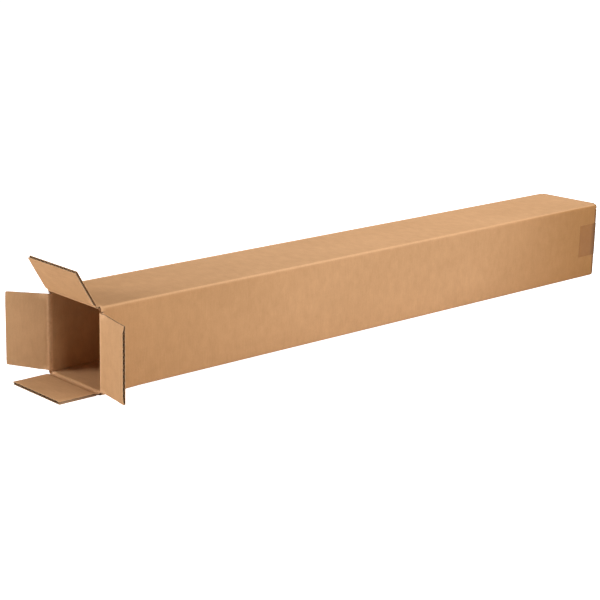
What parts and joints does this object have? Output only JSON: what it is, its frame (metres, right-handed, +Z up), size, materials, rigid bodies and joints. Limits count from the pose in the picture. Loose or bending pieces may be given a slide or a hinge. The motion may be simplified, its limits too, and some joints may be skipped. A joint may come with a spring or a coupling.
{
  "type": "corrugated mailing tube box",
  "caption": "Long slender square carton of corrugated board for mailing rolled goods, lying down, open on hinged flaps at its near end and taped shut at its far end.",
  "frame": {"origin": "centre of the outer face of the wall that the carton lies on, midway between its shut end faces", "axes": "+X along the carton from the open end to the taped end, +Z up, the front wall towards -Y"},
  "size_m": [0.9862, 0.2069, 0.1565],
  "materials": {
    "kraft_board": "matte",
    "packing_tape": "satin"
  },
  "bodies": {
    "carton": {"box_body": "kraft_board", "closing_tape": "packing_tape"},
    "top_flap": {"top_flap": "kraft_board"},
    "bottom_flap": {"bottom_flap": "kraft_board"},
    "front_flap": {"front_flap": "kraft_board"},
    "back_flap": {"back_flap": "kraft_board"}
  },
  "joints": [
    {"name": "top_flap_fold", "type": "hinge", "parent": "carton", "child": "top_flap", "pos_m": [-0.4658, 0, 0.1098], "axis": [0, 1, 0], "range_deg": [-149, 121]},
    {"name": "bottom_flap_fold", "type": "hinge", "parent": "carton", "child": "bottom_flap", "pos_m": [-0.4658, 0, -0.0002], "axis": [0, -1, 0], "range_deg": [-90, 179]},
    {"name": "front_flap_fold", "type": "hinge", "parent": "carton", "child": "front_flap", "pos_m": [-0.4614, -0.055, 0.0548], "axis": [0, 0, 1], "range_deg": [-172, 98]},
    {"name": "back_flap_fold", "type": "hinge", "parent": "carton", "child": "back_flap", "pos_m": [-0.4614, 0.055, 0.0548], "axis": [0, 0, -1], "range_deg": [-142, 128]}
  ]
}
